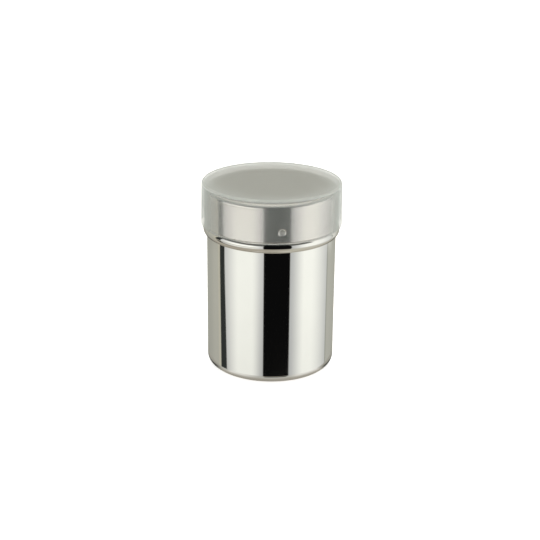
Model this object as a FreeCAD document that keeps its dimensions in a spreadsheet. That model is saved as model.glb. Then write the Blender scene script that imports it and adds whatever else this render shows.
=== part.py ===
import FreeCAD, Part
import math
import os
import Sketcher

# Mesh-top spice shaker, in millimetres.
# The shaker stands on the origin with +Z up, and its photographed front faces -Y.
# Five pieces: drawn cup, drawn lid collar, woven screen, ring that holds the screen, plastic snap cap.

doc = FreeCAD.newDocument("SpiceShaker")
sheet = doc.addObject("Spreadsheet::Sheet", "sizes")

SIZES = (
    # Cup: wall, base and the rolled bead that stops the lid
    ("body_radius", 35.0),
    ("cup_sheet", 0.6),
    ("base_corner", 4.8),
    ("base_ring", 4.0),
    ("base_slope", 1.5),
    ("base_rise", 0.6),
    ("bead_foot", 75.1),
    ("bead_height", 6.0),
    ("bead_proud", 2.0),
    ("neck_height", 14.2),
    # Bayonet between cup and collar: where the pips lie, and how far the lid turns to free them
    ("pip_azimuth", -80.9),
    ("lid_turn", 30.0),
    ("pip_gap", 0.3),
    # Collar: skirt, shoulder, flange and pips
    ("skirt_gap", 0.4),
    ("seat_gap", 0.1),
    ("collar_sheet", 0.6),
    ("shoulder", 2.8),
    ("flange_width", 5.6),
    ("pip_width", 4.2),
    ("pip_depth", 1.3),
    ("pip_height", 5.1),
    # Screen: a disc of wires under the flange
    ("screen_thickness", 0.5),
    ("screen_edge_gap", 0.1),
    ("screen_pitch", 3.4),
    ("screen_wire", 0.7),
    # Ring that holds the screen up
    ("ring_sheet", 0.5),
    ("ring_height", 4.0),
    ("ring_lip", 0.4),
    ("ring_fit", 0.05),
    ("neck_gap", 0.95),
    # Snap cap
    ("cap_side_gap", 0.4),
    ("cap_top_gap", 1.9),
    ("cap_rim_rise", 0.2),
    ("cap_wall", 1.3),
    ("cap_top", 1.15),
    ("cap_draft", 0.35),
    ("cap_corner", 1.5),
    ("cap_inner_corner", 0.6),
)
PIP_COUNT = 2
FULL_TURN = 360.0

for row, (alias, value) in enumerate(SIZES, start=1):
    sheet.set(f"A{row}", alias.replace("_", " "))
    sheet.set(f"B{row}", str(value))
    sheet.setAlias(f"B{row}", alias)
doc.recompute()


class Size:
    """A size with its value and the expression that works it out from the sheet's cells."""

    def __init__(self, value, text):
        self.value = value
        self.text = text

    def __add__(self, other):
        return Size(self.value + other.value, f"({self.text} + {other.text})")

    def __sub__(self, other):
        return Size(self.value - other.value, f"({self.text} - {other.text})")

    def __mul__(self, factor):
        return Size(self.value * factor, f"({self.text} * {factor})")

    def __truediv__(self, divisor):
        return Size(self.value / divisor, f"({self.text} / {divisor})")

    def over(self, other):
        """This size squared, divided by another."""
        return Size(self.value**2 / other.value, f"({self.text} ^ 2 / {other.text})")

    def leg(self, other):
        """The other leg of a right-angled triangle whose hypotenuse is this size."""
        square = self.value**2 - other.value**2
        return Size(math.sqrt(square), f"sqrt({self.text} ^ 2 - {other.text} ^ 2)")


size = {alias: Size(sheet.get(alias), f"sizes.{alias}") for alias, value in SIZES}
ZERO = Size(0.0, "0")


def bind(piece, path, value):
    """Ties one property of a piece to the sheet."""
    piece.setExpression(path, value.text)


def arc_radius(width, depth):
    """Radius of the arc that is width across its ends and depth deep."""
    return (width / 2).over(depth * 2) + depth / 2


def pin(sketch, geometry, end, across, up):
    """Holds a sketch point at (across, up) from the sketch's origin."""
    for kind, distance, axis in (("DistanceX", across, -2), ("DistanceY", up, -1)):
        if distance is ZERO:
            sketch.addConstraint(Sketcher.Constraint("PointOnObject", geometry, end, axis))
            continue
        index = sketch.addConstraint(Sketcher.Constraint(kind, -1, 1, geometry, end, distance.value))
        bind(sketch, f"Constraints[{index}]", distance)


def add_outline(body, name, corners):
    """Closed outline on the body's XZ plane, radius across and height up.

    Each corner is (across, up), or (across, up, centre, side) where the line that arrives there
    is an arc round that centre: side is 1 for an arc that turns left and -1 for one that turns right.
    """
    sketch = body.newObject("Sketcher::SketchObject", name)
    planes = {plane.Role: plane for plane in body.Origin.OriginFeatures}
    sketch.AttachmentSupport = [(planes["XZ_Plane"], "")]
    sketch.MapMode = "FlatFace"
    ends = []
    for index, corner in enumerate(corners):
        before = corners[index - 1]
        first = FreeCAD.Vector(before[0].value, before[1].value, 0)
        last = FreeCAD.Vector(corner[0].value, corner[1].value, 0)
        if len(corner) == 2:
            ends.append((sketch.addGeometry(Part.LineSegment(first, last), False), 1, 2))
            continue
        centre, side = corner[2:]
        middle = FreeCAD.Vector(centre[0].value, centre[1].value, 0)
        begin, finish = (first, last) if side > 0 else (last, first)
        circle = Part.Circle(middle, FreeCAD.Vector(0, 0, 1), (first - middle).Length)
        angles = [math.atan2(point.y - middle.y, point.x - middle.x) for point in (begin, finish)]
        arc = sketch.addGeometry(Part.ArcOfCircle(circle, angles[0], angles[1]), False)
        ends.append((arc, 1, 2) if side > 0 else (arc, 2, 1))
    for index, corner in enumerate(corners):
        geometry, begin, finish = ends[index]
        following = ends[(index + 1) % len(ends)]
        sketch.addConstraint(Sketcher.Constraint("Coincident", geometry, finish, following[0], following[1]))
        pin(sketch, geometry, finish, corner[0], corner[1])
        if len(corner) == 2:
            continue
        before = corners[index - 1]
        upright = abs(corner[1].value - before[1].value) > abs(corner[0].value - before[0].value)
        kind, distance = ("DistanceX", corner[2][0]) if upright else ("DistanceY", corner[2][1])
        held = sketch.addConstraint(Sketcher.Constraint(kind, -1, 1, geometry, 3, distance.value))
        bind(sketch, f"Constraints[{held}]", distance)
    return sketch


def add_turned(name, corners):
    """Body turned from one closed outline about the upright axis."""
    body = doc.addObject("PartDesign::Body", name)
    outline = add_outline(body, f"{name}_outline", corners)
    turned = body.newObject("PartDesign::Revolution", f"{name}_turned")
    turned.Profile = outline
    turned.ReferenceAxis = (outline, ["V_Axis"])
    turned.Angle = FULL_TURN
    outline.Visibility = False
    return body


def swing(piece, turn):
    """Turns a piece about the upright axis."""
    piece.Placement.Rotation = FreeCAD.Rotation(FreeCAD.Vector(0, 0, 1), turn.value)
    bind(piece, "Placement.Rotation.Angle", turn)
    return piece


def add_ball(name, radius, reach, height):
    """Ball centred out along +X."""
    ball = doc.addObject("Part::Sphere", name)
    bind(ball, "Radius", radius)
    bind(ball, "Placement.Base.x", reach)
    bind(ball, "Placement.Base.z", height)
    return ball


def add_group(name, shapes, turn):
    """Shapes kept together and turned about the upright axis."""
    group = doc.addObject("Part::Compound", name)
    group.Links = shapes
    return swing(group, turn)


def add_fused(name, shapes, turn):
    """Shapes fused and turned about the upright axis."""
    fused = doc.addObject("Part::MultiFuse", name)
    fused.Shapes = shapes
    return swing(fused, turn)


def add_pressed(name, blank, core_radius, core_height, tools, dies):
    """Sheet-metal piece pressed inwards: the dies add the skin inside, the tools cut the hollow outside."""
    core = doc.addObject("Part::Cylinder", f"{name}_core")
    bind(core, "Radius", core_radius)
    bind(core, "Height", core_height)
    all_dies = doc.addObject("Part::MultiFuse", f"{name}_dies")
    all_dies.Shapes = dies
    skin = doc.addObject("Part::Common", f"{name}_skin")
    skin.Base = core
    skin.Tool = all_dies
    raised = doc.addObject("Part::MultiFuse", f"{name}_raised")
    raised.Shapes = [blank, skin]
    all_tools = doc.addObject("Part::MultiFuse", f"{name}_tools")
    all_tools.Shapes = tools
    pressed = doc.addObject("Part::Cut", f"{name}_pressed")
    pressed.Base = raised
    pressed.Tool = all_tools
    pressed.Label = name
    return swing(pressed, size["pip_azimuth"])


# Heights and radii that several pieces share. The lid stacks up from the bead and the neck's rim.
bead_top = size["bead_foot"] + size["bead_height"]
bead_middle = size["bead_foot"] + size["bead_height"] / 2
neck_top = bead_top + size["neck_height"]
collar_foot = bead_top + size["seat_gap"]
screen_under = neck_top + size["neck_gap"] + size["ring_height"]
flange_under = screen_under + size["screen_thickness"]
collar_top = flange_under + size["collar_sheet"]
skirt_inside = size["body_radius"] + size["skirt_gap"]
collar_radius = skirt_inside + size["collar_sheet"]
mouth_radius = collar_radius - size["flange_width"]

# A pip is a round dimple pressed into the skirt by a ball. The ball's middle lies outside the skirt.
pip_ball = arc_radius(size["pip_width"], size["pip_depth"])
pip_reach = collar_radius - size["pip_depth"] + pip_ball
pip_level = collar_foot + size["pip_height"]
pip_back = pip_ball + size["collar_sheet"]
pip_turns = [Size(FULL_TURN * index / PIP_COUNT, f"{FULL_TURN * index / PIP_COUNT}") for index in range(PIP_COUNT)]


def make_cup():
    """Cup: one drawn blank with a stepped base, a half-round bead, and J channels pressed into its neck."""
    outside = size["body_radius"]
    inside = outside - size["cup_sheet"]
    corner_middle = (outside - size["base_corner"], size["base_corner"])
    bead_arc = arc_radius(size["bead_height"], size["bead_proud"])
    bead_axis = outside + size["bead_proud"] - bead_arc
    bead_inner = (bead_arc - size["cup_sheet"]).leg(inside - bead_axis)
    slope_end = corner_middle[0] - size["base_ring"]
    panel_edge = slope_end - size["base_slope"]
    corners = (
        (ZERO, size["base_rise"]),
        (panel_edge, size["base_rise"]),
        (slope_end, ZERO),
        (corner_middle[0], ZERO),
        (outside, size["base_corner"], corner_middle, 1),
        (outside, size["bead_foot"]),
        (outside, bead_top, (bead_axis, bead_middle), 1),
        (outside, neck_top),
        (inside, neck_top),
        (inside, bead_middle + bead_inner),
        (inside, bead_middle - bead_inner, (bead_axis, bead_middle), -1),
        (inside, size["base_corner"]),
        (corner_middle[0], size["cup_sheet"], corner_middle, -1),
        (slope_end, size["cup_sheet"]),
        (panel_edge, size["cup_sheet"] + size["base_rise"]),
        (ZERO, size["cup_sheet"] + size["base_rise"]),
    )
    blank = add_turned("cup_blank", corners)
    channel_ball = pip_back + size["pip_gap"]
    tools = [add_channel(f"channel_{index}", channel_ball, turn) for index, turn in enumerate(pip_turns)]
    dies = [
        add_channel(f"channel_die_{index}", channel_ball + size["cup_sheet"], turn)
        for index, turn in enumerate(pip_turns)
    ]
    middle_radius = outside - size["cup_sheet"] / 2
    return add_pressed("cup", blank, middle_radius, neck_top, tools, dies)


def add_channel(name, radius, turn):
    """J-shaped path of a ball: down from the neck's rim, then round to where the pip locks."""
    lock_end = add_ball(f"{name}_lock", radius, pip_reach, pip_level)
    sweep = doc.addObject("Part::Torus", f"{name}_sweep")
    bind(sweep, "Radius1", pip_reach)
    bind(sweep, "Radius2", radius)
    bind(sweep, "Angle3", size["lid_turn"])
    bind(sweep, "Placement.Base.z", pip_level)
    bend = add_ball(f"{name}_bend", radius, pip_reach, pip_level)
    drop = doc.addObject("Part::Cylinder", f"{name}_drop")
    bind(drop, "Radius", radius)
    bind(drop, "Height", neck_top - pip_level + radius)
    bind(drop, "Placement.Base.x", pip_reach)
    bind(drop, "Placement.Base.z", pip_level)
    entry = add_fused(f"{name}_entry", [bend, drop], size["lid_turn"])
    return add_fused(name, [lock_end, sweep, entry], turn)


def make_lid_collar():
    """Collar: one drawn blank, open below, with a flange round the screen and two pressed pips."""
    flange_start = collar_radius - size["shoulder"]
    shoulder_middle = (flange_start, collar_top - size["shoulder"])
    corners = (
        (mouth_radius, flange_under),
        (flange_start, flange_under),
        (skirt_inside, shoulder_middle[1], shoulder_middle, -1),
        (skirt_inside, collar_foot),
        (collar_radius, collar_foot),
        (collar_radius, shoulder_middle[1]),
        (flange_start, collar_top, shoulder_middle, 1),
        (mouth_radius, collar_top),
    )
    blank = add_turned("collar_blank", corners)
    tools = []
    dies = []
    for index, turn in enumerate(pip_turns):
        tool = add_ball(f"pip_ball_{index}", pip_ball, pip_reach, pip_level)
        die = add_ball(f"pip_die_{index}", pip_back, pip_reach, pip_level)
        tools.append(add_group(f"pip_{index}", [tool], turn))
        dies.append(add_group(f"pip_back_{index}", [die], turn))
    middle_radius = collar_radius - size["collar_sheet"] / 2
    return add_pressed("lid_collar", blank, middle_radius, collar_top, tools, dies)


def make_mesh_screen():
    """Screen: a disc of crossing wires, clamped between the collar's flange and the ring."""
    radius = (collar_radius - size["shoulder"] - size["screen_edge_gap"]).value
    pitch = size["screen_pitch"].value
    half_gap = (size["screen_pitch"] - size["screen_wire"]).value / 2
    mouth = mouth_radius.value
    reach = math.ceil(mouth / pitch)
    rows = [index * pitch for index in range(-reach, reach + 1)]
    outer = Part.Wire([Part.makeCircle(radius)])
    gaps = []
    for across in rows:
        for along in rows:
            if math.hypot(across, along) > mouth:
                continue
            corners = [
                FreeCAD.Vector(across + side * half_gap, along + end * half_gap, 0)
                for side, end in ((-1, -1), (1, -1), (1, 1), (-1, 1), (-1, -1))
            ]
            gaps.append(Part.makePolygon(corners))
    face = Part.makeFace([outer] + gaps, "Part::FaceMakerBullseye")
    screen = doc.addObject("Part::Feature", "mesh_screen")
    screen.Shape = face.extrude(FreeCAD.Vector(0, 0, size["screen_thickness"].value))
    screen.Placement.Base = FreeCAD.Vector(0, 0, screen_under.value)
    print(f"mesh_screen has {len(gaps)} gaps")
    return screen


def make_screen_ring():
    """Ring: L section pressed up inside the collar, with its flat face under the screen."""
    outside = skirt_inside - size["ring_fit"]
    inside = outside - size["ring_sheet"]
    corner = size["shoulder"] - size["collar_sheet"] - size["screen_thickness"]
    inner_corner = corner - size["ring_sheet"] / 2
    lip = mouth_radius + size["ring_lip"]
    shelf_under = screen_under - size["ring_sheet"]
    corners = (
        (lip, shelf_under),
        (inside - inner_corner, shelf_under),
        (inside, shelf_under - inner_corner),
        (inside, screen_under - size["ring_height"]),
        (outside, screen_under - size["ring_height"]),
        (outside, screen_under - corner),
        (outside - corner, screen_under),
        (lip, screen_under),
    )
    return add_turned("screen_ring", corners)


def make_snap_cap():
    """Cap: soft plastic moulding with a flat top, a rounded corner and a slightly flared wall."""
    inside_top = collar_radius + size["cap_side_gap"]
    inside_rim = inside_top + size["cap_draft"]
    outside_top = inside_top + size["cap_wall"]
    outside_rim = inside_rim + size["cap_wall"]
    rim = collar_foot + size["cap_rim_rise"]
    ceiling = collar_top + size["cap_top_gap"]
    top = ceiling + size["cap_top"]
    corner_middle = (outside_top - size["cap_corner"], top - size["cap_corner"])
    inner_middle = (inside_top - size["cap_inner_corner"], ceiling - size["cap_inner_corner"])
    corners = (
        (ZERO, ceiling),
        (inner_middle[0], ceiling),
        (inside_top, inner_middle[1], inner_middle, -1),
        (inside_rim, rim),
        (outside_rim, rim),
        (outside_top, corner_middle[1]),
        (corner_middle[0], top, corner_middle, 1),
        (ZERO, top),
    )
    return add_turned("snap_cap", corners)


pieces = (make_cup(), make_lid_collar(), make_mesh_screen(), make_screen_ring(), make_snap_cap())
doc.recompute()

for thing in doc.Objects:
    if "Invalid" in thing.State or "Error" in thing.State:
        raise RuntimeError(f"{thing.Label} did not build: {thing.State}")
for piece in pieces:
    shape = piece.Shape
    if shape.isNull() or not shape.isValid() or len(shape.Solids) != 1:
        raise RuntimeError(f"{piece.Label} is not one valid solid")

os.makedirs("parts", exist_ok=True)
for piece in pieces:
    box = piece.Shape.BoundBox
    print(f"{piece.Label}: {piece.Shape.Volume:.1f} mm3, height {box.ZMin:.2f} to {box.ZMax:.2f}")
    piece.Shape.exportStep(f"parts/{piece.Label}.step")
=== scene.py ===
import math

import bpy
import numpy as np
from mathutils import Matrix


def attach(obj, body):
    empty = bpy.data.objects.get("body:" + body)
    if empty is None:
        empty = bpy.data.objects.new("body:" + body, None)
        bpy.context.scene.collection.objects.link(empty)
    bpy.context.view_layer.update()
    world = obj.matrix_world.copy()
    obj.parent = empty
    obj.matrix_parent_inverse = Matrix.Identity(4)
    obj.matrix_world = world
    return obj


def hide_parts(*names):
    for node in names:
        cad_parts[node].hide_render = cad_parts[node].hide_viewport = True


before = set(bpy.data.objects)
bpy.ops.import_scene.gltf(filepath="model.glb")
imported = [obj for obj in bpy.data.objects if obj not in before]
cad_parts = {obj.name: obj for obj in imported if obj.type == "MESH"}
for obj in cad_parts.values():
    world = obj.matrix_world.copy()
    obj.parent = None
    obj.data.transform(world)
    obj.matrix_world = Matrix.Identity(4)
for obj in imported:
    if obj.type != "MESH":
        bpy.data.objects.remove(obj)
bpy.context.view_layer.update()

# Cup
# The real cup is drawn from one stainless blank, 0.6 mm thick: a stepped base, a rolled bead that stops the
# lid, and a neck with two J channels pressed into it for the lid's pips. Polished outside, satin inside.

MM = 0.001
SHEET = 0.6
CUP_RADIUS = 35.0
BASE_CORNER = 4.8
BASE_RING_WIDTH = 4.0
BASE_STEP_RUN = 1.5
BASE_RISE = 0.6
BASE_RING = CUP_RADIUS - BASE_CORNER - BASE_RING_WIDTH
BASE_PANEL = BASE_RING - BASE_STEP_RUN
STEP_TOP_ROUNDING = 1.2
STEP_FOOT_ROUNDING = 0.8
BEAD_FOOT = 75.1
BEAD_HEIGHT = 6.0
BEAD_TOP = BEAD_FOOT + BEAD_HEIGHT
BEAD_PROUD = 2.0
BEAD_INSIDE_GAP = 0.43
NECK_HEIGHT = 14.2
NECK_TOP = BEAD_TOP + NECK_HEIGHT
CUT_EDGE = 0.28
PIP_COUNT = 2
PIP_AZIMUTH = -80.9
PIP_HEIGHT = BEAD_TOP + 5.2
LID_TURN = 30.0
CHANNEL_HALF_WIDTH = 2.5
CHANNEL_DEPTH = 1.2
DENT_SPREAD = 0.4
DENT_EDGE = 0.2
CUP_COLUMNS = 300
CUP_ROW_SPACING = 1.2
GUARD_ROW = 0.12
ARC_STEP = 0.12
ARC_STEPS = (4, 20)
TINY = 1e-6


class Shade:
    """One socket in a node tree. Sums on it add Math nodes, and make() adds any other node."""

    def __init__(self, tree, socket=None):
        self.tree = tree
        self.socket = socket

    def make(self, kind, settings, inputs, output=0):
        """Adds a node, sets its settings and then its inputs, and gives one of its outputs."""
        node = self.tree.nodes.new(kind)
        for name, setting in settings.items():
            setattr(node, name, setting)
        for name, given in inputs.items():
            if isinstance(given, Shade):
                self.tree.links.new(given.socket, node.inputs[name])
            else:
                node.inputs[name].default_value = given
        return Shade(self.tree, node.outputs[output] if node.outputs else None)

    def sum(self, operation, first, second=0.0):
        """Adds a Math node on one or two values."""
        return self.make("ShaderNodeMath", {"operation": operation}, {0: first, 1: second})

    def __add__(self, other):
        return self.sum("ADD", self, other)

    def __radd__(self, other):
        return self.sum("ADD", other, self)

    def __sub__(self, other):
        return self.sum("SUBTRACT", self, other)

    def __rsub__(self, other):
        return self.sum("SUBTRACT", other, self)

    def __mul__(self, other):
        return self.sum("MULTIPLY", self, other)

    def __rmul__(self, other):
        return self.sum("MULTIPLY", other, self)

    def __truediv__(self, other):
        return self.sum("DIVIDE", self, other)

    def __rtruediv__(self, other):
        return self.sum("DIVIDE", other, self)

    def __pow__(self, other):
        return self.sum("POWER", self, other)


def rise(value, low, high):
    """0 below low and 1 above high, with an eased slope between."""
    return value.make(
        "ShaderNodeMapRange",
        {"interpolation_type": "SMOOTHSTEP"},
        {"Value": value, "From Min": low, "From Max": high},
    )


def blend(amount, first, second):
    """Colour mixed from first, at 0, to second, at 1."""
    return amount.make("ShaderNodeMix", {"data_type": "RGBA"}, {0: amount, 6: first, 7: second}, 2)


def grain(shade, stretch, detail=2.0):
    """Noise from 0 to 1 over the piece, with its repeats to the metre along X, Y and Z."""
    place = shade.make("ShaderNodeTexCoord", {}, {}, "Object")
    scaled = shade.make("ShaderNodeMapping", {}, {"Vector": place, "Scale": stretch})
    return shade.make("ShaderNodeTexNoise", {}, {"Vector": scaled, "Scale": 1.0, "Detail": detail})


def from_axis(shade):
    """Distance from the upright axis and height above the base, both in millimetres."""
    place = shade.make("ShaderNodeTexCoord", {}, {}, "Object")
    flat = shade.make("ShaderNodeVectorMath", {"operation": "MULTIPLY"}, {0: place, 1: (1 / MM, 1 / MM, 0)})
    radius = shade.make("ShaderNodeVectorMath", {"operation": "LENGTH"}, {0: flat}, "Value")
    height = shade.make("ShaderNodeSeparateXYZ", {}, {0: place}, "Z")
    return radius, height * (1 / MM)


def new_material(name):
    """Empty node material, as the shade that its nodes start from, and the material itself."""
    material = bpy.data.materials.new(name)
    material.use_nodes = True
    material.node_tree.nodes.clear()
    return Shade(material.node_tree), material


def polished_steel(name, colour, dullness, satin):
    """Polished stainless steel. satin(radius, height) is 1 where the polishing wheel didn't reach.

    Smears and fine level lines roughen it, and soft waves bend what it mirrors.
    """
    clouding = 0.04
    wave_depth = 0.00006
    line_depth = 0.0000004
    satin_lines = 8
    shade, material = new_material(name)
    radius, height = from_axis(shade)
    unpolished = satin(radius, height)
    smear = rise(grain(shade, (22.0, 22.0, 34.0), 3.0), 0.42, 0.72)
    rings = grain(shade, (30.0, 30.0, 5200.0), 3.0)
    waviness = grain(shade, (16.0, 16.0, 11.0), 1.0)
    cloudy = (*(part + clouding for part in colour), 1)
    tone = blend(grain(shade, (60.0, 60.0, 60.0)), (*colour, 1), cloudy)
    dull = blend(unpolished, tone, (0.68, 0.675, 0.66, 1))
    roughness = dullness + smear * 0.03 + rings * 0.02 + unpolished * 0.3
    lines = rings * (1 + unpolished * satin_lines)
    soft_wave = shade.make(
        "ShaderNodeBump",
        {},
        {"Strength": 1.0, "Distance": wave_depth, "Height": waviness},
    )
    relief = shade.make(
        "ShaderNodeBump",
        {},
        {"Strength": 1.0, "Distance": line_depth, "Height": lines, "Normal": soft_wave},
    )
    steel = shade.make(
        "ShaderNodeBsdfPrincipled",
        {},
        {"Base Color": dull, "Metallic": 1.0, "Roughness": roughness, "Normal": relief},
    )
    shade.make("ShaderNodeOutputMaterial", {}, {"Surface": steel})
    return material


def section(corners, closed=False, spacing=2.5):
    """Smooth cross-section as rows of (radius, height) in millimetres.

    Each corner is (radius, height, rounding) and becomes an arc of that radius that touches both of its
    sides. Straight runs get a row close to each end, so that they stay flat when shaded, and one every
    spacing. An open section starts and ends on the upright axis.
    """
    corners = np.array(corners, float)
    places, rounding = corners[:, :2], np.maximum(corners[:, 2:], 1e-4)
    back = np.roll(places, 1, 0) - places
    ahead = np.roll(places, -1, 0) - places
    back /= np.linalg.norm(back, axis=1, keepdims=True)
    ahead /= np.linalg.norm(ahead, axis=1, keepdims=True)
    half = np.arccos(np.clip((back * ahead).sum(1, keepdims=True), -1, 1)) / 2
    begin = places + back * rounding / np.tan(half)
    finish = places + ahead * rounding / np.tan(half)
    outward = back + ahead
    middle = places + outward / np.linalg.norm(outward, axis=1, keepdims=True) * rounding / np.sin(half)
    rows = []
    for index in range(len(corners)):
        if not closed and index in (0, len(corners) - 1):
            rows.append(places[index : index + 1])
        else:
            sweep = np.pi - 2 * half[index]
            steps = int(np.clip(np.ceil(rounding[index] * sweep / ARC_STEP), *ARC_STEPS)[0])
            share = np.linspace(0, 1, steps + 1)[:, None]
            first, last = begin[index] - middle[index], finish[index] - middle[index]
            arc = (np.sin((1 - share) * sweep) * first + np.sin(share * sweep) * last) / np.sin(sweep)
            rows.append(middle[index] + arc)
        if not closed and index == len(corners) - 1:
            continue
        near, far = finish[index], begin[(index + 1) % len(corners)]
        length = np.linalg.norm(far - near)
        if length > 3 * GUARD_ROW:
            inner = np.linspace(GUARD_ROW, length - GUARD_ROW, int(np.ceil(length / spacing)) + 1)[:, None]
            rows.append(near + (far - near) * inner / length)
    return np.concatenate(rows)


def lay_mesh(name, points, faces, material):
    """Mesh object from points in millimetres and faces, shaded smooth, at the origin."""
    mesh = bpy.data.meshes.new(name)
    mesh.from_pydata((points * MM).tolist(), [], faces)
    mesh.polygons.foreach_set("use_smooth", np.ones(len(mesh.polygons), bool))
    mesh.materials.append(material)
    piece = bpy.data.objects.new(name, mesh)
    bpy.context.scene.collection.objects.link(piece)
    return piece


def spun(name, rows, columns, material, press=None):
    """Piece turned about the upright axis.

    A row at (radius, height) goes round as (radius cos a, radius sin a, height). press(radius, height, angle)
    gives each point's new radius where the sheet is pressed in. A row on the axis is one point. With no row
    on the axis, the last row joins the first.
    """
    on_axis = rows[:, 0] < TINY
    ring_rows = rows[~on_axis]
    angle = np.linspace(0, 2 * np.pi, columns, endpoint=False)[None, :]
    radius, height = np.broadcast_arrays(ring_rows[:, :1] + 0 * angle, ring_rows[:, 1:])
    if press:
        radius = press(radius, height, angle)
    rings = np.stack([radius * np.cos(angle), radius * np.sin(angle), height], 2).reshape(-1, 3)
    index = np.arange(len(rings)).reshape(len(ring_rows), columns)
    if not on_axis.any():
        index = np.concatenate([index, index[:1]])
    beside = np.roll(index, -1, 1)
    faces = np.stack([index[:-1], beside[:-1], beside[1:], index[1:]], 2).reshape(-1, 4).tolist()
    poles = rows[on_axis] * (0, 1)
    points = np.concatenate([rings, np.insert(poles, 0, 0, 1)])
    if len(poles):
        first, last = np.full(columns, len(rings)), np.full(columns, len(rings) + 1)
        faces += np.stack([first, beside[0], index[0]], 1).tolist()
        faces += np.stack([last, index[-1], beside[-1]], 1).tolist()
    return lay_mesh(name, points, faces, material)


def dent(distance, half_width, depth):
    """Depth of a pressed dent: a parabola, deepest in the middle, that eases into the sheet at half_width."""
    bowl = depth * (1 - (distance / half_width) ** 2)
    return (bowl + np.sqrt(bowl**2 + DENT_EDGE**2)) / 2


def from_pip(angle, turn):
    """Distance round the body, in millimetres, from the nearest line that is turn degrees past a pip."""
    step = 2 * np.pi / PIP_COUNT
    away = angle - math.radians(PIP_AZIMUTH + turn)
    return ((away + step / 2) % step - step / 2) * CUP_RADIUS


def press_channels(radius, height, angle):
    """Presses the J channels: down the neck at the turned end, then along at the pips' height to the lock.

    The sheet's inner skin is pressed as deep as its outer one, and a little wider.
    """
    past_lock = from_pip(angle, 0.0)
    past_bend = from_pip(angle, LID_TURN)
    along = np.maximum(np.maximum(-past_lock, past_bend), 0)
    slot = np.hypot(along, height - PIP_HEIGHT)
    drop = np.hypot(past_bend, np.minimum(height - PIP_HEIGHT, 0))
    distance = np.minimum(slot, drop)
    inner = radius < CUP_RADIUS - SHEET / 2
    half_width = np.where(inner, CHANNEL_HALF_WIDTH + DENT_SPREAD, CHANNEL_HALF_WIDTH)
    return np.where(height > BEAD_TOP, radius - dent(distance, half_width, CHANNEL_DEPTH), radius)


def bead_rows(radius, proud, foot, top, count):
    """Half-round bead between two heights: an arc that stands proud of the wall and meets it in a crease."""
    width = (top - foot) / 2
    arc = (width**2 / proud + proud) / 2
    lift = np.linspace(-1, 1, count) * width
    return np.stack([radius + proud - arc + np.sqrt(arc**2 - lift**2), (foot + top) / 2 + lift], 1)


cup_rows = section(
    [
        (0.0, BASE_RISE, 0),
        (BASE_PANEL, BASE_RISE, STEP_TOP_ROUNDING),
        (BASE_RING, 0.0, STEP_FOOT_ROUNDING),
        (CUP_RADIUS, 0.0, BASE_CORNER),
        (CUP_RADIUS, NECK_TOP, CUT_EDGE),
        (CUP_RADIUS - SHEET, NECK_TOP, CUT_EDGE),
        (CUP_RADIUS - SHEET, SHEET, BASE_CORNER - SHEET),
        (BASE_RING, SHEET, STEP_FOOT_ROUNDING),
        (BASE_PANEL, BASE_RISE + SHEET, STEP_TOP_ROUNDING),
        (0.0, BASE_RISE + SHEET, 0),
    ],
    spacing=CUP_ROW_SPACING,
)


def with_bead(rows):
    """Puts the bead's rows in place of the plain wall's, outside going up and inside coming down."""
    clearing = 0.3
    outer_rows, inner_rows = 25, 21
    outside = rows[:, 0] > CUP_RADIUS - TINY
    inside = abs(rows[:, 0] - (CUP_RADIUS - SHEET)) < TINY
    beside_bead = (rows[:, 1] > BEAD_FOOT - clearing) & (rows[:, 1] < BEAD_TOP + clearing)
    rows = rows[~(beside_bead & (outside | inside))]
    rising = np.argmax(rows[:, 1])
    below = np.flatnonzero(rows[:rising, 1] < BEAD_FOOT)[-1] + 1
    outer = bead_rows(CUP_RADIUS, BEAD_PROUD, BEAD_FOOT, BEAD_TOP, outer_rows)
    edge = np.array([[0, GUARD_ROW]])
    outer = np.concatenate([outer[:1] - edge, outer, outer[-1:] + edge])
    rows = np.concatenate([rows[:below], outer, rows[below:]])
    above = np.flatnonzero(rows[:, 1] > BEAD_TOP)[-1] + 1
    foot, top = BEAD_FOOT + BEAD_INSIDE_GAP, BEAD_TOP - BEAD_INSIDE_GAP
    inner = bead_rows(CUP_RADIUS - SHEET, BEAD_PROUD, foot, top, inner_rows)[::-1]
    inner = np.concatenate([inner[:1] + edge, inner, inner[-1:] - edge])
    return np.concatenate([rows[:above], inner, rows[above:]])


def within_wall(radius, wall_radius):
    """1 from a wall's inner skin inwards, and 0 on its outer skin."""
    return 1 - rise(radius, wall_radius - 0.5, wall_radius - 0.3)


def cup_satin(radius, height):
    """The cup's inside: within the wall, and above the raised underside of the base."""
    return within_wall(radius, CUP_RADIUS) * rise(height, BASE_RISE + 0.15, BASE_RISE + 0.35)


cup_steel = polished_steel("polished_cup_steel", (0.76, 0.755, 0.735), 0.035, cup_satin)
cup = spun("cup_shell", with_bead(cup_rows), CUP_COLUMNS, cup_steel, press_channels)
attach(cup, "cup")
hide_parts("cup")

# Lid collar
# The real collar is a second drawn piece of the same polished sheet: an open skirt that slips over the neck,
# a rounded shoulder, and a flat flange round the screen. Two dimples pressed into the skirt are its pips.

COLLAR_RADIUS = 36.0
COLLAR_LAP = 0.15
COLLAR_RISE = 6.05
COLLAR_FOOT = BEAD_TOP - COLLAR_LAP
COLLAR_TOP = NECK_TOP + COLLAR_RISE
SHOULDER = 2.8
MOUTH_RADIUS = 30.4
SKIRT_EDGE = 0.2
PIP_HALF_WIDTH = 1.9
PIP_DEPTH = 1.3
COLLAR_COLUMNS = 512
COLLAR_ROW_SPACING = 0.32


def press_pips(radius, height, angle):
    """Presses the pips into the skirt: round dents, a little wider on the sheet's inner skin."""
    distance = np.hypot(from_pip(angle, 0.0), height - PIP_HEIGHT)
    inner = radius < COLLAR_RADIUS - SHEET / 2
    half_width = np.where(inner, PIP_HALF_WIDTH + DENT_SPREAD, PIP_HALF_WIDTH)
    return radius - dent(distance, half_width, PIP_DEPTH)


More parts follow.
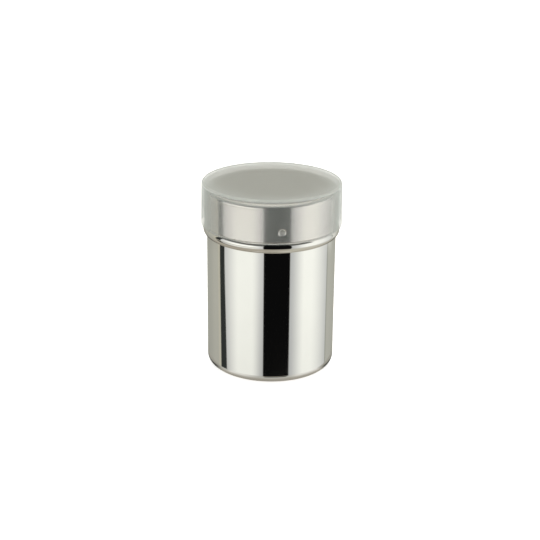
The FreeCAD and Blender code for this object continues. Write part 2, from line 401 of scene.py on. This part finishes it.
def collar_satin(radius, height):
    """The collar's inside: behind the skirt and under the flange."""
    under_flange = 1 - rise(height, COLLAR_TOP - 0.4, COLLAR_TOP - 0.2)
    return within_wall(radius, COLLAR_RADIUS) * under_flange


collar_rows = section(
    [
        (MOUTH_RADIUS, COLLAR_TOP - SHEET, CUT_EDGE),
        (COLLAR_RADIUS - SHEET, COLLAR_TOP - SHEET, SHOULDER - SHEET),
        (COLLAR_RADIUS - SHEET, COLLAR_FOOT, SKIRT_EDGE),
        (COLLAR_RADIUS, COLLAR_FOOT, SKIRT_EDGE),
        (COLLAR_RADIUS, COLLAR_TOP, SHOULDER),
        (MOUTH_RADIUS, COLLAR_TOP, CUT_EDGE),
    ],
    closed=True,
    spacing=COLLAR_ROW_SPACING,
)
collar_steel = polished_steel("polished_collar_steel", (0.87, 0.845, 0.815), 0.14, collar_satin)
collar = spun("lid_collar_shell", collar_rows, COLLAR_COLUMNS, collar_steel, press_pips)
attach(collar, "lid")
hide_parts("lid_collar")

# Screen
# The real screen is a disc of plain-woven stainless wire cloth, clamped flat under the flange. Each wire
# waves over and under the ones that cross it.

WIRE = 0.32
WAVE = 0.09
PITCH = 1.31
SCREEN_PLAY = 0.1
CLOTH_HALF = 0.25
SCREEN_RADIUS = COLLAR_RADIUS - SHOULDER - SCREEN_PLAY
SCREEN_MIDDLE = COLLAR_TOP - SHEET - CLOTH_HALF
WIRE_SIDES = 6
STEPS_PER_PITCH = 4


def wire_steel():
    """Drawn stainless wire: satin, darker lower down the weave as painted shade, with fine draw lines."""
    shade, material = new_material("woven_wire_steel")
    height = from_axis(shade)[1]
    # Painted shade: the wire is darker low in the weave and on its undersides, and lighter on top
    painted_top_light = rise(height, SCREEN_MIDDLE - WIRE * 0.6, SCREEN_MIDDLE + WIRE * 0.5)
    stain = grain(shade, (90.0, 90.0, 90.0), 3.0)
    tone = blend(painted_top_light, (0.60, 0.59, 0.56, 1), (0.90, 0.89, 0.86, 1))
    lines = grain(shade, (3000.0, 3000.0, 3000.0))
    relief = shade.make("ShaderNodeBump", {}, {"Strength": 0.3, "Distance": 0.000004, "Height": lines})
    steel = shade.make(
        "ShaderNodeBsdfPrincipled",
        {},
        {"Base Color": tone, "Metallic": 1.0, "Roughness": 0.3 + stain * 0.15, "Normal": relief},
    )
    shade.make("ShaderNodeOutputMaterial", {}, {"Surface": steel})
    return material


def wires(name, phase, material, across):
    """All wires of one direction of the weave.

    A wire at distance d from the middle is a tube round the line (t, d, wave(t)), where the wave is a cosine
    that is high over one crossing wire and low under the next. Rings outside the disc are left out, and the
    ends are capped.
    """
    count = int(SCREEN_RADIUS / PITCH)
    lanes = (np.arange(-count, count + 1))[:, None, None]
    steps = np.arange(-count * STEPS_PER_PITCH, count * STEPS_PER_PITCH + 1)[None, :, None]
    around = (2 * np.pi * np.arange(WIRE_SIDES) / WIRE_SIDES)[None, None, :]
    along = steps * PITCH / STEPS_PER_PITCH
    wave = np.cos(np.pi * (steps / STEPS_PER_PITCH + lanes + phase)) * WAVE
    beside = lanes * PITCH + np.cos(around) * WIRE / 2
    height = SCREEN_MIDDLE + wave + np.sin(around) * WIRE / 2
    along, beside, height = np.broadcast_arrays(along, beside, height)
    order = [beside, along, height] if across else [along, beside, height]
    points = np.stack(order, 3)
    inside = (along**2 + (lanes * PITCH) ** 2 < (SCREEN_RADIUS - WIRE) ** 2).all(2)
    index = np.arange(points[..., 0].size).reshape(points.shape[:3])
    turned = np.roll(index, -1, 2)
    kept = inside[:, :-1] & inside[:, 1:]
    tube = np.stack([index[:, :-1], index[:, 1:], turned[:, 1:], turned[:, :-1]], 3)[kept].reshape(-1, 4)
    starts = inside & ~np.roll(inside, 1, 1)
    ends = inside & ~np.roll(inside, -1, 1)
    caps = [index[starts], index[ends][:, ::-1]]
    if across:
        tube = tube[:, ::-1]
        caps = [cap[:, ::-1] for cap in caps]
    used, tube_faces = np.unique(tube, return_inverse=True)
    place = np.zeros(index.size, int)
    place[used] = np.arange(len(used))
    faces = tube_faces.reshape(-1, 4).tolist() + place[np.concatenate(caps)].tolist()
    return lay_mesh(name, points.reshape(-1, 3)[used], faces, material)


wire_finish = wire_steel()
warp = wires("screen_warp", 0.0, wire_finish, False)
weft = wires("screen_weft", 1.0, wire_finish, True)
for cloth in (warp, weft):
    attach(cloth, "lid")
    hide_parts("mesh_screen")

# Screen ring
# The real ring is a rolled strip of thinner sheet in an L section. It is pressed up into the collar, and its
# flat side holds the screen against the flange.

RING_HEIGHT = 4.0
RING_SHEET = 0.5
RING_PLAY = 0.05
RING_SET_BACK = 0.4
RING_BEND = 1.7
RING_EDGE = 0.2
RING_TOP = SCREEN_MIDDLE - CLOTH_HALF
RING_FOOT = RING_TOP - RING_HEIGHT
RING_OUTSIDE = COLLAR_RADIUS - SHEET - RING_PLAY
RING_LIP = MOUTH_RADIUS + RING_SET_BACK
RING_COLUMNS = 240


def satin_steel():
    """Brushed stainless strip, with its lines running round."""
    shade, material = new_material("satin_ring_steel")
    lines = grain(shade, (60.0, 60.0, 7000.0), 3.0)
    tone = blend(lines, (0.60, 0.59, 0.57, 1), (0.74, 0.73, 0.71, 1))
    relief = shade.make("ShaderNodeBump", {}, {"Strength": 0.5, "Distance": 0.000008, "Height": lines})
    steel = shade.make(
        "ShaderNodeBsdfPrincipled",
        {},
        {"Base Color": tone, "Metallic": 1.0, "Roughness": 0.24 + lines * 0.16, "Normal": relief},
    )
    shade.make("ShaderNodeOutputMaterial", {}, {"Surface": steel})
    return material


ring_rows = section(
    [
        (RING_LIP, RING_TOP - RING_SHEET, RING_EDGE),
        (RING_OUTSIDE - RING_SHEET, RING_TOP - RING_SHEET, RING_BEND - RING_SHEET),
        (RING_OUTSIDE - RING_SHEET, RING_FOOT, RING_EDGE),
        (RING_OUTSIDE, RING_FOOT, RING_EDGE),
        (RING_OUTSIDE, RING_TOP, RING_BEND),
        (RING_LIP, RING_TOP, RING_EDGE),
    ],
    closed=True,
)
ring = spun("screen_ring_band", ring_rows, RING_COLUMNS, satin_steel())
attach(ring, "lid")
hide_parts("screen_ring")

# Snap cap
# The real cap is moulded in one piece from soft, milky polyethylene. It pushes over the collar and comes down
# to the bead. The collar and the screen show through it, hazier where the wall is seen edge-on.

CAP_LAP = 0.4
CAP_HEADROOM = 1.9
CAP_LID = 1.15
CAP_PLAY = 0.4
CAP_WALL = 1.3
CAP_DRAFT = 0.35
CAP_CORNER = 1.5
CAP_INNER_CORNER = 0.6
CAP_RIM_EDGE = 0.15
CAP_RIM = BEAD_TOP - CAP_LAP
CAP_CEILING = COLLAR_TOP + CAP_HEADROOM
CAP_TOP = CAP_CEILING + CAP_LID
CAP_INSIDE = COLLAR_RADIUS + CAP_PLAY
CAP_COLUMNS = 360


def frosted_plastic():
    """Milky polyethylene: part of the light passes straight, and the rest, the haze, is scattered.

    The flat top has more haze than the wall, and its corner the most. The skin has a soft gloss.
    """
    wall_haze, top_haze, corner_haze = 0.082, 0.21, 0.42
    rim_left = 0.1
    through_share = 0.45
    shade, material = new_material("frosted_polyethylene")
    radius, height = from_axis(shade)
    mottle = grain(shade, (70.0, 70.0, 45.0), 3.0)
    skin = grain(shade, (2600.0, 2600.0, 2600.0), 3.0)
    scuffs = rise(grain(shade, (420.0, 2600.0, 300.0), 2.0), 0.62, 0.72)
    facing = shade.make("ShaderNodeLayerWeight", {}, {"Blend": 0.5}, "Facing")
    flat_top = rise(height, CAP_TOP - 1.6, CAP_TOP - 0.9)
    corner = rise(radius, COLLAR_RADIUS, COLLAR_RADIUS + 0.9) * flat_top
    above_rim = rise(height, CAP_RIM + 0.05, CAP_RIM + 0.2) * (1 - rim_left) + rim_left
    haze = wall_haze + mottle * 0.03 + scuffs * 0.02 + flat_top * top_haze + corner * corner_haze
    opacity = (haze + (1 - haze) * facing**3.0) * above_rim
    milk = blend(mottle, (0.63, 0.66, 0.62, 1), (0.69, 0.72, 0.68, 1))
    # Painted light: the flat top's milk is lighter than the wall's, as if lit from above
    milk = blend(flat_top, milk, (0.90, 0.90, 0.86, 1))
    relief = shade.make("ShaderNodeBump", {}, {"Strength": 0.4, "Distance": 0.00001, "Height": skin})
    body = shade.make(
        "ShaderNodeBsdfPrincipled",
        {},
        {"Base Color": milk, "Roughness": 0.5 + mottle * 0.1, "IOR": 1.5, "Normal": relief},
    )
    through = shade.make("ShaderNodeBsdfTranslucent", {}, {"Color": (0.70, 0.80, 0.84, 1)})
    scattered = shade.make("ShaderNodeMixShader", {}, {0: through_share, 1: body, 2: through})
    straight = shade.make("ShaderNodeBsdfTransparent", {}, {"Color": (1.0, 0.995, 0.995, 1)})
    wall = shade.make("ShaderNodeMixShader", {}, {0: opacity, 1: straight, 2: scattered})
    gloss = shade.make(
        "ShaderNodeBsdfGlossy",
        {},
        {"Color": (1, 1, 1, 1), "Roughness": 0.32, "Normal": relief},
    )
    shine = (0.03 + facing**4.0 * 0.15) * above_rim
    surface = shade.make("ShaderNodeMixShader", {}, {0: shine, 1: wall, 2: gloss})
    shade.make("ShaderNodeOutputMaterial", {}, {"Surface": surface})
    return material


cap_rows = section(
    [
        (0.0, CAP_CEILING, 0),
        (CAP_INSIDE, CAP_CEILING, CAP_INNER_CORNER),
        (CAP_INSIDE + CAP_DRAFT, CAP_RIM, CAP_RIM_EDGE),
        (CAP_INSIDE + CAP_DRAFT + CAP_WALL, CAP_RIM, CAP_RIM_EDGE),
        (CAP_INSIDE + CAP_WALL, CAP_TOP, CAP_CORNER),
        (0.0, CAP_TOP, 0),
    ]
)
cap = spun("snap_cap_shell", cap_rows, CAP_COLUMNS, frosted_plastic())
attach(cap, "cap")
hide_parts("snap_cap")

# Floor
# A plain white sheet under the shaker. The steel mirrors the studio below, not this sheet.

FLOOR_HALF_WIDTH = 6000.0
FLOOR_DROP = 0.05


def white_sheet():
    """Matt white floor, bright enough to run into the white background."""
    shade, material = new_material("white_floor")
    matt = shade.make(
        "ShaderNodeBsdfPrincipled",
        {},
        {
            "Base Color": (0.9, 0.9, 0.9, 1),
            "Roughness": 1.0,
            "Emission Color": (1, 1, 1, 1),
            "Emission Strength": 0.75,
        },
    )
    shade.make("ShaderNodeOutputMaterial", {}, {"Surface": matt})
    return material


floor_points = np.array([(-1, -1), (1, -1), (1, 1), (-1, 1)]) * FLOOR_HALF_WIDTH
floor = lay_mesh("floor", np.insert(floor_points, 2, -FLOOR_DROP, 1), [(0, 1, 2, 3)], white_sheet())
floor.visible_glossy = False
floor.visible_transmission = False

# Near floor
# What the rounded corner of the base mirrors: the floor right round the foot, pale where the side lights
# reach it, dark in front and in the shaker's own shade behind. Only mirror rays see it.

NEAR_FLOOR_RADIUS = 42.5
NEAR_FLOOR_DROP = 0.03
NEAR_FLOOR_SIDES = 96


def near_floor_sheet():
    """Floor colour by distance from the axis and by angle, 0 at the front and growing to the right."""
    shade, material = new_material("near_floor")
    radius = from_axis(shade)[0]
    place = shade.make("ShaderNodeTexCoord", {}, {}, "Object")
    across, away = (shade.make("ShaderNodeSeparateXYZ", {}, {0: place}, axis) for axis in "XY")
    angle = shade.sum("ARCTAN2", across, away * -1.0) * (180 / math.pi)
    outside = rise(radius, CUP_RADIUS - 1.0, CUP_RADIUS + 6.0)
    front = rise(angle, -7.5, -5.0) * (1 - rise(angle, 16.0, 19.0))
    left = (1 - rise(angle, -30.0, -8.0)) * rise(angle, -52.0, -42.0)
    right = rise(angle, 18.0, 32.0) * (1 - rise(angle, 54.0, 62.0))
    behind = 1 - rise(angle, -68.0, -52.0) * (1 - rise(angle, 58.0, 70.0))
    pale = blend(left + right, (0.56, 0.56, 0.52, 1), (0.94, 0.93, 0.88, 1))
    colour = blend(outside, (0.46, 0.43, 0.37, 1), pale)
    black_card = front * rise(radius, CUP_RADIUS + 4.5, CUP_RADIUS + 5.5)
    colour = blend(black_card, colour, (0.02, 0.02, 0.02, 1))
    own_shade = 1 - rise(radius, CUP_RADIUS + 2.2, CUP_RADIUS + 5.0)
    shaded = blend(own_shade, (0.40, 0.39, 0.34, 1), (0.08, 0.08, 0.07, 1))
    colour = blend(behind, colour, shaded)
    glow = shade.make(
        "ShaderNodeBsdfPrincipled",
        {},
        {
            "Base Color": (0, 0, 0, 1),
            "Roughness": 1.0,
            "Specular IOR Level": 0.0,
            "Emission Color": colour,
            "Emission Strength": 1.0,
        },
    )
    shade.make("ShaderNodeOutputMaterial", {}, {"Surface": glow})
    return material


rim_angle = np.linspace(0, 2 * np.pi, NEAR_FLOOR_SIDES, endpoint=False)
rim_points = np.stack([np.cos(rim_angle), np.sin(rim_angle), 0 * rim_angle], 1) * NEAR_FLOOR_RADIUS
rim_points -= (0, 0, NEAR_FLOOR_DROP)
near_floor = lay_mesh("near_floor", rim_points, [tuple(range(NEAR_FLOOR_SIDES))], near_floor_sheet())
near_floor.visible_camera = False
near_floor.visible_diffuse = False
near_floor.visible_transmission = False
near_floor.visible_shadow = False

# Studio
# Soft light from a white tent, with what polished steel shows of it: a black card in front, white boxes on
# both sides, a thin black edge on the left, a plain grey room behind, a warm overhead and a beige table.

DIM_ROOM = (0.42, 0.42, 0.37, 1)


def studio():
    """World light as a function of direction.

    Both angles are in degrees. Azimuth is 0 towards the front and grows to the right. Elevation is 0 at the
    horizon and grows upwards.
    """
    world = bpy.data.worlds.new("studio")
    bpy.context.scene.world = world
    world.use_nodes = True
    world.node_tree.nodes.clear()
    shade = Shade(world.node_tree)
    direction = shade.make("ShaderNodeTexCoord", {}, {}, "Generated")
    right, away, up = (shade.make("ShaderNodeSeparateXYZ", {}, {0: direction}, axis) for axis in "XYZ")
    azimuth = shade.sum("ARCTAN2", right, away * -1.0) * (180 / math.pi)
    elevation = shade.sum("ARCSINE", up) * (180 / math.pi)

    def card(left_edge, right_edge, softness):
        """1 between two azimuths and 0 outside, with soft edges."""
        return rise(azimuth, left_edge - softness, left_edge + softness) * (
            1 - rise(azimuth, right_edge - softness, right_edge + softness)
        )

    def glow(centre, width):
        """1 at an azimuth, falling away on both sides."""
        away_from = (azimuth - centre) / width
        return 1 / (1 + away_from * away_from)

    # Room behind, darker on the left where the collar mirrors it
    above_wall = rise(elevation, -19.6, -18.0)
    collar_band = above_wall * (1 - rise(elevation, -16.0, -13.0))
    left_room = blend(rise(azimuth, -150.0, -115.0), DIM_ROOM, (0.52, 0.515, 0.45, 1))
    left_room = blend(collar_band * 0.5, left_room, (0.30, 0.30, 0.26, 1))
    right_room = blend(rise(azimuth, 125.0, 175.0), (0.54, 0.54, 0.48, 1), DIM_ROOM)
    pale_wall = above_wall * (1 - rise(azimuth, 124.0, 144.0))
    right_room = blend(pale_wall, right_room, (0.84, 0.84, 0.78, 1))
    room = blend(rise(azimuth, -5.0, 5.0), left_room, right_room)
    back_wall = (1 - card(-150.0, 150.0, 12.0)) * rise(elevation, 2.0, 12.0)
    room = blend(back_wall, room, (0.32, 0.32, 0.28, 1))

    # White boxes, brighter towards their middles and higher up
    left_swell = rise(azimuth, -98.0, -56.0) * (1 - rise(azimuth, -36.0, -10.0))
    right_swell = rise(azimuth, 30.0, 66.0) * (1 - rise(azimuth, 72.0, 138.0))
    above_foot = rise(elevation, -27.0, -20.0)
    left_dim = blend(above_foot, (0.50, 0.505, 0.50, 1), (0.66, 0.665, 0.66, 1))
    left_box = blend(left_swell + glow(-50.8, 4.0) * 0.3, left_dim, (1.13, 1.14, 1.07, 1))
    right_box = blend(right_swell + glow(69.5, 5.0) * 0.15, (0.55, 0.56, 0.56, 1), (1.18, 1.19, 1.12, 1))
    upper = rise(elevation, -19.4, -16.4) * 0.3
    left_box = blend(left_swell * upper, left_box, (1.5, 1.5, 1.42, 1))
    right_box = blend(right_swell * upper, right_box, (1.2, 1.2, 1.13, 1))

    # What stands round the shaker. The black edge on the left drifts to the right lower down
    drift = shade.sum("MAXIMUM", (elevation + 20.0) * -1.0, 0.0)
    stripe_left = drift * 0.6 - 104.0
    stripe_right = drift * 1.1 - 91.5
    around = blend(card(stripe_right, -12.8, 1.0), room, left_box)
    around = blend(card(34.0, 119.0, 1.0), around, right_box)
    around = blend(card(119.0, 122.0, 0.8), around, (0.40, 0.41, 0.37, 1))
    around = blend(collar_band * card(106.0, 136.0, 6.0) * 0.6, around, (0.98, 0.98, 0.93, 1))
    around = blend((1 - above_foot) * 0.1, around, (0.1, 0.1, 0.1, 1))
    around = blend(card(stripe_left - 6.0, stripe_left, 1.5), around, (0.58, 0.56, 0.46, 1))
    around = blend(card(stripe_left, stripe_right, 1.0), around, (0.034, 0.038, 0.036, 1))
    beige_card = rise(elevation, -17.0, -13.0) * (1 - rise(elevation, -9.0, -3.0)) * card(-112.0, -22.0, 8.0)
    around = blend(beige_card * 0.85, around, (0.49, 0.45, 0.37, 1))
    front = card(-105.0, 78.0, 4.0)
    around = blend(rise(elevation, 21.0, 27.0) * front, around, (0.13, 0.13, 0.12, 1))
    around = blend(card(-12.8, 34.0, 0.9), around, (0.004, 0.004, 0.004, 1))

    # Table, dark in the shaker's own shade behind it
    in_sight = card(-142.0, 142.0, 12.0)
    table = blend(rise(azimuth, -40.0, 75.0), (0.46, 0.42, 0.345, 1), (0.58, 0.55, 0.46, 1))
    table = blend(in_sight, (0.12, 0.115, 0.10, 1), table)
    table = blend(rise(elevation, -65.0, -30.0) * in_sight * 0.2, table, around)
    lower = blend(rise(elevation - (1 - in_sight) * 3.4, -30.0, -26.5), table, around)

    # Overhead, which starts higher up in front
    overhead = blend(card(-20.0, 150.0, 30.0), (0.60, 0.58, 0.51, 1), (0.84, 0.83, 0.76, 1))
    overhead = blend(card(-75.0, 70.0, 30.0), overhead, (1.10, 1.06, 0.94, 1))
    overhead = blend(rise(elevation, 58.0, 70.0), overhead, (2.15, 2.08, 1.90, 1))
    shade_edge = front * 14.0 + card(-40.0, 45.0, 20.0) * 19.0
    light = blend(rise(elevation - shade_edge, 30.0, 40.0), lower, overhead)

    # The camera itself sees plain white
    seen = shade.make("ShaderNodeLightPath", {}, {}, "Is Camera Ray")
    colour = blend(seen, light, (1.0, 1.0, 1.0, 1))
    background = shade.make("ShaderNodeBackground", {}, {"Color": colour, "Strength": 1.0})
    shade.make("ShaderNodeOutputWorld", {}, {"Surface": background})


studio()

# Camera
# A long lens from in front and a little above, as the photograph was taken.

CAMERA_DISTANCE = 637.494
CAMERA_HEIGHT = 289.446
LENS = 82.311
PITCH_DOWN, YAW, ROLL = (math.radians(angle) for angle in (20.358, -0.048, 0.595))

eye = bpy.data.cameras.new("camera")
eye.sensor_width = 36.0
eye.lens = LENS
eye.clip_start = 0.01
eye.clip_end = 50.0
camera = bpy.data.objects.new("camera", eye)
bpy.context.scene.collection.objects.link(camera)
camera.matrix_world = (
    Matrix.Translation((0.0, -CAMERA_DISTANCE * MM, CAMERA_HEIGHT * MM))
    @ Matrix.Rotation(-YAW, 4, "Z")
    @ Matrix.Rotation(math.pi / 2 - PITCH_DOWN, 4, "X")
    @ Matrix.Rotation(ROLL, 4, "Z")
)
bpy.context.scene.camera = camera
bpy.context.scene.view_settings.view_transform = "Standard"
